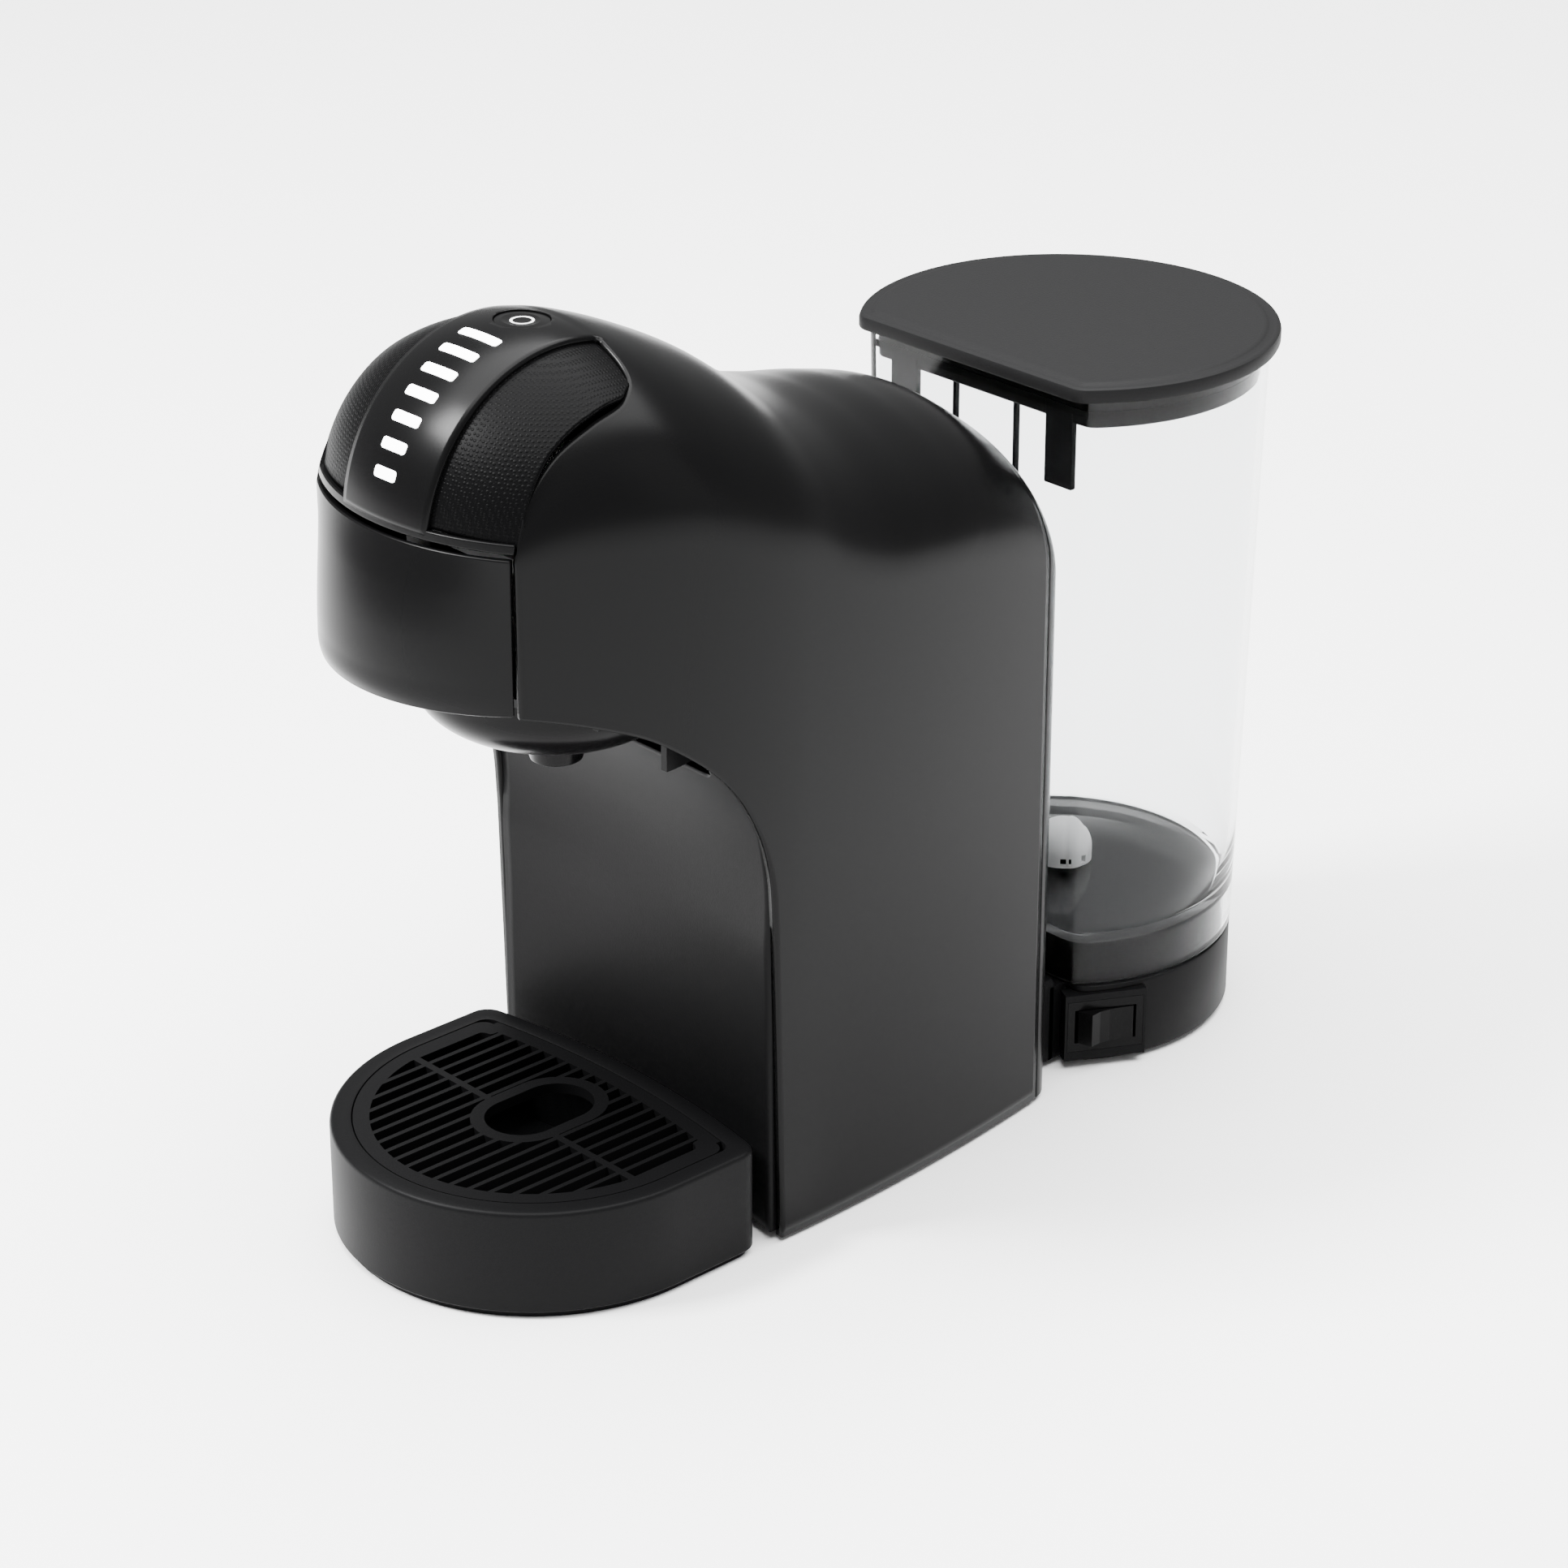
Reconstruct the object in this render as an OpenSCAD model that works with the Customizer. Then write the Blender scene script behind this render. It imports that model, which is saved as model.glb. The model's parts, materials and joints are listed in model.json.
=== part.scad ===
// Pod coffee machine, free-standing, with a removable rear water tank.
// Units are millimetres. X is the width, -Y the front, Z is up from the table.

/* [Body] */
// Widest half-width of the casing
body_half_w = 58.2; // [50:0.1:66]
// Casing wall thickness
wall = 2.4; // [1.6:0.1:3.5]
// Height of the casing's lower edge over the table
skirt_gap = 1.5; // [0.5:0.1:4]
// Position of the joint between casing and back cover
back_split_y = 42; // [36:0.5:46]
// Height of the head's lower front edge
head_low_z = 173.4; // [160:0.1:185]

/* [Dome] */
// Height of the dome's centre
dome_z = 212.8; // [200:0.1:225]
// Radius of the dome in side view
dome_r = 47.8; // [42:0.1:54]
// Radius of the dome's curve from side to side
barrel_r = 72.9; // [60:0.1:90]
// Half-width of the raised light strip
strip_half_w = 17.2; // [12:0.1:24]
// Number of light windows
led_count = 7; // [3:1:9]
// Angle of the lowest light window over the horizontal
led_first = 21.1; // [15:0.1:35]
// Angle between light windows
led_step = 8.87; // [7:0.01:12]
// Radius of the start button
button_r = 7.2; // [5:0.1:10]

/* [Flap] */
// Top edge of the front flap
flap_top_z = 215.6; // [210:0.1:222]
// Half-width of the front flap
flap_half_w = 39; // [34:0.1:44]
// Radius of the flap's hinge pin
flap_pin_r = 0.75; // [0.5:0.05:1.5]

/* [Pod holder] */
// Centre of the pod holder along Y
pod_y = -94; // [-104:0.1:-84]
// Outer radius of the pod holder
pod_r = 37.7; // [30:0.1:42]
// Radius of the pod's bore in the insert
pod_bore_r = 24; // [15:0.1:28]
// Outer radius of the spout
spout_r = 7.4; // [5:0.1:10]
// Outer radius of the injector's stem
stem_r = 8; // [5:0.1:12]

/* [Drip tray] */
// Front radius and half-width of the drip tray
tray_r = 57.6; // [48:0.1:66]
// Centre of the tray's front arc along Y
tray_y = -103; // [-115:0.1:-95]
// Height of the tray's rim over the table
tray_top = 32.4; // [24:0.1:45]
// Number of slots across the grille
slot_count = 18; // [10:1:24]
// Distance between slots
slot_pitch = 5.17; // [4:0.01:8]
// Width of the ribs between slots
rib_w = 1.5; // [1:0.1:3]

/* [Water tank] */
// Radius of the lid
lid_r = 60.4; // [54:0.1:68]
// Centre of the lid along Y
lid_y = 100.2; // [90:0.1:110]
// Flat front side of the lid along Y
lid_flat_y = 58.3; // [52:0.1:66]
// Height of the lid's top over the table
lid_top = 213.8; // [180:0.1:240]
// Thickness of the lid's edge
lid_t = 4.9; // [3:0.1:8]
// Radius of the tank under the lid
tank_r = 57.4; // [50:0.1:64]
// Radius of the tank's foot over its top radius
tank_taper = 0.93; // [0.85:0.01:1]
// Tank wall thickness
tank_wall = 2.2; // [1.5:0.1:4]

/* [Tank base] */
// Radius of the tank base
base_r = 53.7; // [46:0.1:60]
// Centre of the tank base along Y
base_y = 99.5; // [90:0.1:110]
// Flat front side of the tank base along Y
base_flat_y = 66.7; // [60:0.1:74]
// Top of the tank base
base_top = 26.1; // [20:0.1:36]
// Direction of the switch face, from +X towards -Y
switch_angle = 29; // [0:1:45]
// Distance from the base's centre to the switch face
switch_face = 55; // [50:0.1:60]

/* [Hidden] */
$fn = 72;
dome_y = -103;

black = [0.07, 0.07, 0.075];
dark = [0.16, 0.16, 0.165];
clear = [0.85, 0.88, 0.9, 0.35];
steel = [0.7, 0.7, 0.72];

// ---------- shared shapes ----------

// Solid through a list of closed rings with equal, even point counts. Each ring runs out along one
// line and back along another, so the ends are capped by strips between the two lines.
module loft(rings) {
    n = len(rings[0]);
    m = len(rings);
    points = [for (ring = rings) each ring];
    sides = [for (i = [0 : m - 2], j = [0 : n - 1])
        let (a = i * n + j, b = i * n + (j + 1) % n)
        each [[a, b, b + n], [a, b + n, a + n]]];
    first_cap = [for (i = [0 : n / 2 - 2]) [n - 1 - i, n - 2 - i, i + 1, i]];
    last_cap = [for (i = [0 : n / 2 - 2], k = [(m - 1) * n])
        [k + i, k + i + 1, k + n - 2 - i, k + n - 1 - i]];
    polyhedron(points, concat(first_cap, last_cap, sides), convexity = 6);
}

// Extrudes an outline drawn in (Y, Z) across the width.
module across(half_w) {
    rotate([90, 0, 90])
        translate([0, 0, -half_w])
            linear_extrude(2 * half_w)
                children();
}

// A round rod between two points, reaching a little past both.
module rod(a, b, r) {
    past = r * 0.45;
    d = b - a;
    h = norm(d);
    translate(a)
        rotate([0, acos(d[2] / h), atan2(d[1], d[0])])
            translate([0, 0, -past])
                cylinder(r = r, h = h + 2 * past);
}

// A wire coil standing on the XY plane, made of short straight rods.
module coil(r, wire, h, turns) {
    steps = 8;
    p = [for (i = [0 : turns * steps])
        let (a = i * 360 / steps)
        [r * cos(a), r * sin(a), wire + (h - 2 * wire) * i / (turns * steps)]];
    for (i = [0 : len(p) - 2])
        rod(p[i], p[i + 1], wire);
}

// Circle cut by a flat side facing -Y, with the circle's centre at the origin.
module d_outline(r, flat) {
    intersection() {
        circle(r);
        translate([-r, flat])
            square([2 * r, 2 * r]);
    }
}

// ---------- casing ----------

// Half-width of the casing at a station along Y, widest at wide_y.
wide_y = -56.3;
side_r = 199;
function half_w(y) =
    y < wide_y ? body_half_w - side_r + sqrt(pow(side_r, 2) - pow(y - wide_y, 2))
    : body_half_w - 0.00084 * pow(y - wide_y, 2);

// Top line and shoulder height of the casing: [y, top z, shoulder height].
top_line = [[-139.1, 244.1, 31], [-131, 251.5, 37], [-122, 256.6, 42], [-112, 259.8, 46],
    [-103, 260.8, 47.6], [-92, 259.6, 47.6], [-81, 256, 47.6], [-70.2, 251.3, 47.6],
    [-56.3, 244, 46], [-42.3, 234.3, 44.3], [-27.6, 226.6, 42], [-8.7, 221, 39],
    [10.2, 217.3, 37.7], [29, 211.5, 37], [42, 202.6, 34.5]];
rear_line = [[42.2, 202.4, 34.4], [45.5, 198.4, 33.5], [48.5, 193, 32.4], [50.3, 185, 30.5]];
// How far the rear edge is rounded in, at each rear station.
rear_inset = [0, 0.6, 2.8, 8];

// One casing section as a line of points from the right foot over the top to the left foot;
// d is the distance inside the outer face.
function section_line(y, top, sh, inset, d, low) =
    let (w = half_w(y) - inset - d, b = sh - d * 0.6, z1 = top - d - b)
    concat([[w, y, low]],
        [for (i = [0 : 13]) let (a = i * 180 / 13) [w * cos(a), y, z1 + b * sin(a)]],
        [[-w, y, low]]);
function flipped(line) = [for (i = [len(line) - 1 : -1 : 0]) line[i]];

// Side and top walls of the casing, open below and at both ends.
module casing_walls() {
    loft([for (s = top_line)
        concat(section_line(s[0], s[1], s[2], 0, 0, skirt_gap),
            flipped(section_line(s[0], s[1], s[2], 0, wall, skirt_gap)))]);
}

module casing_rear_solid(d, low) {
    loft([for (i = [0 : len(rear_line) - 1])
        section_line(rear_line[i][0] - d, rear_line[i][1], rear_line[i][2],
            rear_inset[i], d, low)]);
}

// Opening under the head, in side view.
arch = [[-66.1, 8], [-66.9, 58.5], [-67.4, 80], [-68, 95.5], [-69.6, 113.9], [-71.9, 122.5],
    [-74.9, 129.6], [-78.4, 136], [-82.7, 141.9], [-88.4, 147.9], [-94.9, 153.3],
    [-100.5, 157.4], [-106.3, 161.1], [-117.1, 165.9], [-127.4, 169.6], [-139.2, 172.9]];
module arch_opening() {
    polygon(concat([[-160, -5], [-66, -5]], arch, [[-160, 174]]));
}

// Edge of the side shell around the dome, in side view.
rim = [[-138.9, 215], [-137.7, 220.3], [-133.5, 229.2], [-124.2, 238.5], [-111.6, 244.4],
    [-100.7, 247.5], [-95.7, 250.2], [-93.2, 253.9], [-90, 258.9]];
module dome_opening() {
    polygon(concat(rim, [[-90, 275], [-165, 275], [-165, 215]]));
}
// The same outline moved forward and up by a gap.
module grip_outline(gap) {
    intersection() {
        translate([-gap * 0.7, gap * 0.7])
            dome_opening();
        translate([-165, 100])
            square([75 - gap, 200]);
    }
}

// Barrel-shaped dome skin between two depths below its outer face.
function barrel(x) = dome_r - barrel_r + sqrt(pow(barrel_r, 2) - pow(x, 2));
module barrel_skin(depth, thick, half = 44) {
    xs = [for (x = [-half : half / 11 : half]) x];
    translate([0, dome_y, dome_z])
        rotate([0, 90, 0])
            rotate_extrude($fn = 120)
                polygon(concat([for (x = xs) [barrel(x) - depth, x]],
                    [for (i = [len(xs) - 1 : -1 : 0]) [barrel(xs[i]) - depth - thick, xs[i]]]));
}

// One light window: a round-ended bar across the strip.
function led_len(i) = 8.2 + 1.13 * i;
module led_bars(grow, r_in, r_out) {
    for (i = [0 : led_count - 1])
        translate([0, dome_y, dome_z])
            rotate([-(led_first + led_step * i), 0, 0])
                translate([0, -r_out, 0])
                    rotate([-90, 0, 0])
                        linear_extrude(r_out - r_in) {
                            square([led_len(i) - 3.3, 3.3 + 2 * grow], center = true);
                            for (s = [-1, 1])
                                translate([s * (led_len(i) / 2 - 1.65), 0])
                                    circle(1.65 + grow);
                        }
}

flap_axis = [-148.6, 213];
band_low = 217;

module main_casing() {
    color(black)
        difference() {
            casing_walls();
            across(80)
                arch_opening();
            across(80)
                dome_opening();
        }
}

// Middle strip of the dome with the light windows, and the band under it that carries the flap.
module control_strip() {
    color(black) {
        difference() {
            intersection() {
                barrel_skin(0, wall);
                across(80)
                    dome_opening();
                union() {
                    translate([-strip_half_w, -160, band_low])
                        cube([2 * strip_half_w, 70, 60]);
                    translate([-flap_half_w, -160, band_low])
                        cube([2 * flap_half_w, 20, 3.6]);
                }
            }
            led_bars(0, dome_r - 6, dome_r + 2);
            translate([0, dome_y + 1, dome_z])
                cylinder(r = button_r + 0.3, h = 60);
        }
        // Hinge lug for the flap: it reaches the pin from behind and joins the strip's inside.
        difference() {
            across(3)
                union() {
                    translate(flap_axis)
                        circle(1.35, $fn = 48);
                    polygon([[-148.6, 211.9], [-142.6, 211.9], [-142.6, 222.6], [-147.2, 222.6],
                        [-147.8, 219.2], [-145, 219.2], [-145, 214.1], [-148.6, 214.1]]);
                }
            across(10)
                translate(flap_axis)
                    circle(flap_pin_r, $fn = 48);
        }
    }
}

module back_cover() {
    color(dark)
        difference() {
            casing_rear_solid(0, skirt_gap);
            casing_rear_solid(wall, -2);
            // Neck of the tank base, and air slots above it.
            translate([-38, 40, -1])
                cube([76, 20, 31]);
            for (z = [60 : 8 : 116])
                translate([-16, 40, z])
                    cube([32, 20, 3]);
            translate([cord_x, 40, cord_z])
                rotate([-90, 0, 0])
                    cylinder(r = 4.6, h = 20);
            casing_screw_places()
                translate([0, 0, -2])
                    cylinder(r = 1.7, h = 8);
        }
}

// Front of the column: hollowed from side to side, curving forward under the head.
column_curve_r = 289;
panel_path = [[-104.5, 164.8], [-92, 156.8], [-79.6, 144.9], [-71.2, 131.4], [-65.2, 113],
    [-62.8, 80], [-62.8, 3]];
function panel_fade(z) = max(0, min(1, (150 - z) / 60));
function panel_dip(x, z) =
    (column_curve_r - sqrt(pow(column_curve_r, 2) - pow(x, 2))) * panel_fade(z);
// Cross-section of the panel at a point p of the path, q being the next point down.
function panel_ring(p, q) =
    let (half = half_w(p[0]) - wall - 0.5, d = q - p, inward = [-d[1], d[0]] / norm(d) * 2.2)
    concat([for (i = [-5 : 5]) let (x = half * i / 5) [x, p[0] - panel_dip(x, p[1]), p[1]]],
        [for (i = [5 : -1 : -5]) let (x = half * i / 5)
            [x, p[0] - panel_dip(x, p[1]) + inward[0], p[1] + inward[1]]]);
module column_panel() {
    last = len(panel_path) - 1;
    step = [for (i = [0 : last]) panel_path[min(i, last - 1) + 1] - panel_path[min(i, last - 1)]];
    color(dark)
        difference() {
            loft([for (i = [0 : last]) panel_ring(panel_path[i], panel_path[i] + step[i])]);
            translate([0, pod_y, 138])
                cylinder(r = 44.7, h = 50);
            translate([-44.7, -140, 138])
                cube([89.4, 140 + pod_y, 50]);
        }
}

// Rounded pocket in the head's underside that the pod holder slides into.
module pod_dock() {
    color(dark) {
        difference() {
            union() {
                translate([0, pod_y, 146])
                    cylinder(r = 44.4, h = 30, $fn = 120);
                translate([-44.4, -117, 164.4])
                    cube([88.8, 23, 11.6]);
                translate([-36, -136, 173.7])
                    cube([72, 40, 2.3]);
            }
            translate([0, pod_y, 140])
                cylinder(r = 42.2, h = 33.7, $fn = 120);
            translate([-42.2, -150, 140])
                cube([84.4, 150 + pod_y, 33.7]);
            translate([-60, -150, 140])
                cube([120, 150 + pod_y, 24.4]);
            translate([0, pod_y, 170])
                cylinder(r = 25, h = 10);
            frame_posts()
                cylinder(r = 1.3, h = 20, center = true);
        }
        // Ledges that carry the pod holder's flanges.
        for (s = [-1, 1])
            translate([s * 41.3 - 1.1, -117, 164.4])
                cube([2.2, 22, 1.9]);
    }
}

module grip_panel(side) {
    color(dark)
        intersection() {
            barrel_skin(1.6, 2);
            translate([side > 0 ? strip_half_w + 0.5 : -44, -160, band_low + 4])
                cube([44 - strip_half_w - 0.5, 80, 60]);
            across(80)
                grip_outline(1.2);
        }
}
module grip_left() {
    grip_panel(-1);
}
module grip_right() {
    grip_panel(1);
}

module light_guide() {
    color([0.95, 0.95, 0.95]) {
        intersection() {
            barrel_skin(wall + 0.3, 1.6, 12);
            translate([-12, -160, band_low + 6])
                cube([24, 47, 60]);
        }
        intersection() {
            barrel_skin(0.1, wall + 1, 12);
            led_bars(-0.15, dome_r - 6, dome_r + 2);
        }
    }
}

module led_board() {
    color([0.05, 0.25, 0.12])
        intersection() {
            barrel_skin(wall + 6, 1.4, 12);
            translate([-11, -160, band_low + 6])
                cube([22, 66, 60]);
        }
}

// ---------- head interior ----------

module frame_posts() {
    for (x = [-33, 33], y = [-112, -72])
        translate([x, y, 176])
            children();
}
module head_frame() {
    color([0.35, 0.35, 0.36])
        difference() {
            union() {
                translate([-37, -120, 200])
                    cube([74, 56, 4]);
                translate([0, pod_y, 196])
                    cylinder(r = stem_r + 4, h = 20);
                frame_posts()
                    translate([0, 0, 0.1])
                        cylinder(r = 3.2, h = 24);
            }
            translate([0, pod_y, 190])
                cylinder(r = stem_r + 0.05, h = 40);
            frame_posts()
                cylinder(r = 1.3, h = 12);
        }
}

module injector_head() {
    color(dark)
        difference() {
            union() {
                translate([0, pod_y, 175.2])
                    cylinder(r = 23.5, h = 10);
                translate([0, pod_y, 185])
                    cylinder(r = stem_r, h = 20);
            }
            translate([0, pod_y, 174])
                cylinder(r = 1.25, h = 40);
            translate([0, pod_y, 195])
                cylinder(r = 3, h = 20);
        }
}
module needle() {
    color(steel)
        translate([0, pod_y, 0])
            difference() {
                union() {
                    translate([0, 0, 174.2])
                        cylinder(r = 1.2, h = 18);
                    translate([0, 0, 173])
                        cylinder(r1 = 0.3, r2 = 1.2, h = 1.2);
                }
                translate([0, 0, 174.5])
                    cylinder(r = 0.5, h = 20);
            }
}
module pod_gasket() {
    color([0.5, 0.15, 0.1])
        translate([0, pod_y, 173.9])
            difference() {
                cylinder(r = 22, h = 1.3);
                translate([0, 0, -1])
                    cylinder(r = 17, h = 4);
            }
}

// ---------- flap ----------

// Flap outline at heights, from the top down: [z, front y].
flap_end_y = -139.9;
flap_rings = [[flap_top_z, -151.1], [204, -154.8], [192, -157.4], [182, -158.3],
    [176, -158.1], [173.4, -157]];
// Arc through both ends of the flap and its front.
function flap_arc(half, end, front) =
    let (sag = end - front, r = (half * half + sag * sag) / (2 * sag), a = asin(half / r))
    [for (i = [-8 : 8]) [r * sin(a * i / 8), front + r - r * cos(a * i / 8)]];
function flap_ring(z, front) =
    [for (p = concat(flap_arc(flap_half_w, flap_end_y, front),
        flipped(flap_arc(flap_half_w - 2.3, flap_end_y, front + 2.3)))) [p[0], p[1], z]];
module front_flap() {
    color(black)
        difference() {
            union() {
                loft([for (r = flap_rings) flap_ring(r[0], r[1])]);
                // Block behind the wall that the hinge pin runs through.
                translate([-9, -150.9, 211])
                    cube([18, 3.9, 3.8]);
            }
            across(9.4)
                translate(flap_axis)
                    circle(flap_pin_r + 0.05, $fn = 48);
            translate([-3.3, -150.2, 210.4])
                cube([6.6, 9, 8]);
        }
}
module flap_pin() {
    color(steel)
        across(8.5)
            translate(flap_axis)
                circle(flap_pin_r, $fn = 48);
}
// Liner that closes the flap's back.
module flap_liner() {
    color(dark)
        difference() {
            translate([-32.6, -142.6, 175])
                cube([65.2, 1.8, 34]);
            translate([-20, -150, 180])
                cube([40, 20, 3]);
        }
}

// ---------- pod holder ----------

bowl_z = 160.3;
bowl_h = 17.2;
pod_rim = 172.8;
module pod_holder() {
    outer = concat([[spout_r, bowl_z - bowl_h * sqrt(1 - pow(spout_r / pod_r, 2))]],
        [for (a = [-72 : 6 : 0]) [pod_r * cos(a), bowl_z + bowl_h * sin(a)]],
        [[pod_r, pod_rim]]);
    inner = concat([[pod_r - 2.4, pod_rim]],
        [for (a = [0 : -6 : -72]) [(pod_r - 2.4) * cos(a), bowl_z + (bowl_h - 2.4) * sin(a)]],
        [[spout_r, bowl_z - (bowl_h - 2.4) * 0.98]]);
    color(black) {
        translate([0, pod_y, 0])
            rotate_extrude($fn = 120)
                polygon(concat(outer, inner));
        for (s = [-1, 1])
            translate([s * 39 - 2.7, -114, 166.6])
                cube([5.4, 18, 2.2]);
    }
}
module pod_insert() {
    color(dark)
        translate([0, pod_y, 0])
            difference() {
                translate([0, 0, 164])
                    cylinder(r = pod_r - 2.6, h = 8, $fn = 96);
                translate([0, 0, 160])
                    cylinder(r = pod_bore_r, h = 20, $fn = 96);
                translate([0, 0, 170.5])
                    cylinder(r = pod_bore_r + 4, h = 10, $fn = 96);
            }
}
module spout_nozzle() {
    color(dark)
        translate([0, pod_y, 0])
            difference() {
                union() {
                    translate([0, 0, 135.7])
                        cylinder(r = spout_r - 0.1, h = 10);
                    translate([0, 0, 141.8])
                        cylinder(r1 = spout_r + 2.4, r2 = spout_r + 0.6, h = 1.4);
                }
                translate([0, 0, 130])
                    cylinder(r = 4.5, h = 30);
            }
}

// ---------- drip tray ----------

// Tray outline: round front, straight sides, rounded rear corners and a rear edge that follows
// the hollow column.
module tray_plan(r) {
    inset = tray_r - r;
    corner_y = -78 - inset;
    difference() {
        union() {
            translate([0, tray_y])
                circle(r);
            translate([-r, tray_y])
                square([2 * r, corner_y - tray_y]);
            translate([4 - r, tray_y])
                square([2 * (r - 4), 40]);
            for (s = [-1, 1])
                translate([s * (r - 4), corner_y])
                    circle(4);
        }
        difference() {
            translate([-80, -90])
                square([160, 60]);
            translate([0, -62.8 - column_curve_r])
                circle(column_curve_r - 5.6 - inset);
        }
    }
}
module drip_tray() {
    color(dark)
        difference() {
            union() {
                translate([0, 0, 2])
                    linear_extrude(tray_top - 2)
                        tray_plan(tray_r);
                linear_extrude(2.1)
                    tray_plan(tray_r - 1.6);
            }
            translate([0, 0, 2.4])
                linear_extrude(tray_top - 8)
                    tray_plan(tray_r - 2.4);
            translate([0, 0, 2.4])
                linear_extrude(40)
                    tray_plan(tray_r - 8);
            translate([0, 0, tray_top - 3.4])
                linear_extrude(10)
                    tray_plan(tray_r - 6.1);
        }
}
hole_a = 10.5;
hole_b = 6.1;
module hole_plan(grow) {
    for (s = [-1, 1])
        translate([0, tray_y + s * hole_b])
            circle(hole_a + grow, $fn = 64);
    translate([-hole_a - grow, tray_y - hole_b])
        square([2 * (hole_a + grow), 2 * hole_b]);
}
module slot_field() {
    intersection() {
        tray_plan(tray_r - 11);
        translate([-60, tray_y - 70])
            square([120, 95.4]);
    }
}
module drip_grille() {
    color(dark)
        difference() {
            translate([0, 0, tray_top - 3.3])
                linear_extrude(3.1)
                    tray_plan(tray_r - 6.4);
            translate([0, 0, tray_top - 5])
                linear_extrude(8)
                    difference() {
                        slot_field();
                        for (i = [0 : slot_count])
                            translate([(i - slot_count / 2) * slot_pitch - rib_w / 2, -170])
                                square([rib_w, 110]);
                        translate([-60, -109.4 - 1.1])
                            square([120, 2.2]);
                        hole_plan(3.9);
                    }
            translate([0, 0, tray_top - 5])
                linear_extrude(8)
                    hole_plan(0);
        }
}

// ---------- water tank ----------

// Tank shape between two heights, drawn inset by a wall: a cone cut by a sloping flat.
tank_h = lid_top - lid_t - base_top;
function tank_scale(z) = tank_taper + (1 - tank_taper) * (z - base_top) / tank_h;
function tank_flat(z) = lid_y - (lid_y - 62.2) * tank_scale(z);
module tank_solid(inset, z0, z1) {
    intersection() {
        translate([0, lid_y, z0])
            cylinder(r1 = tank_r * tank_scale(z0) - inset, r2 = tank_r * tank_scale(z1) - inset,
                h = z1 - z0);
        across(70)
            polygon([[tank_flat(z0) + inset, z0], [200, z0], [200, z1],
                [tank_flat(z1) + inset, z1]]);
    }
}
tank_floor = 39.4;
tank_top = lid_top - lid_t - 0.1;
valve_y = 104;
module water_tank() {
    color(clear)
        difference() {
            tank_solid(0, base_top + 0.3, tank_top);
            tank_solid(tank_wall, tank_floor + 2.2, tank_top + 1);
            tank_solid(tank_wall, base_top - 1, tank_floor);
            translate([0, valve_y, 30])
                cylinder(r = 4, h = 20);
        }
    color(clear)
        translate([0, valve_y, tank_floor - 5])
            difference() {
                cylinder(r = 7, h = 5.2);
                translate([0, 0, -1])
                    cylinder(r = 4, h = 10);
            }
}
module tank_filter() {
    color([0.8, 0.8, 0.8])
        translate([0, valve_y, tank_floor + 2.3])
            difference() {
                union() {
                    cylinder(r = 8.6, h = 4);
                    translate([0, 0, 4])
                        intersection() {
                            sphere(8.6);
                            cylinder(r = 10, h = 10);
                        }
                }
                translate([0, 0, -1])
                    cylinder(r = 7.2, h = 5);
                intersection() {
                    translate([0, 0, 4])
                        sphere(7.2);
                    cylinder(r = 10, h = 14);
                }
                for (a = [0 : 45 : 315])
                    rotate([0, 0, a])
                        translate([5, -0.8, 0.8])
                            cube([6, 1.6, 2.4]);
            }
}
module valve_poppet() {
    color([0.85, 0.85, 0.85])
        translate([0, valve_y, 0]) {
            translate([0, 0, tank_floor + 3.9])
                cylinder(r = 5.6, h = 1.4);
            translate([0, 0, tank_floor - 4])
                cylinder(r = 1.6, h = 8.2);
        }
}
module poppet_seal() {
    color(black)
        translate([0, valve_y, tank_floor + 2.3])
            difference() {
                cylinder(r = 5.4, h = 1.5);
                translate([0, 0, -1])
                    cylinder(r = 1.7, h = 4);
            }
}
module valve_spring() {
    color(steel)
        translate([0, valve_y, tank_floor + 5.4])
            coil(3.6, 0.45, 5.2, 3);
}
module tank_lid() {
    color(dark) {
        translate([0, lid_y, lid_top - lid_t])
            linear_extrude(lid_t - 0.6)
                d_outline(lid_r, lid_flat_y - lid_y);
        translate([0, lid_y, lid_top - 0.7])
            linear_extrude(0.7)
                d_outline(lid_r - 4, lid_flat_y - lid_y + 4);
        difference() {
            tank_solid(tank_wall + 0.4, lid_top - lid_t - 9, lid_top - lid_t + 0.2);
            tank_solid(tank_wall + 2.4, lid_top - lid_t - 10, lid_top - lid_t + 0.1);
            lid_seal_ring(0.05);
        }
    }
}
// Ring in a groove round the lid's skirt.
module lid_seal_ring(gap) {
    difference() {
        tank_solid(tank_wall + 0.05 - gap, lid_top - lid_t - 6 - gap, lid_top - lid_t - 4 + gap);
        tank_solid(tank_wall + 1.3 + gap, lid_top - lid_t - 7, lid_top - lid_t - 3);
    }
}
module lid_seal() {
    color(black)
        lid_seal_ring(0);
}

// ---------- tank base ----------

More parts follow.
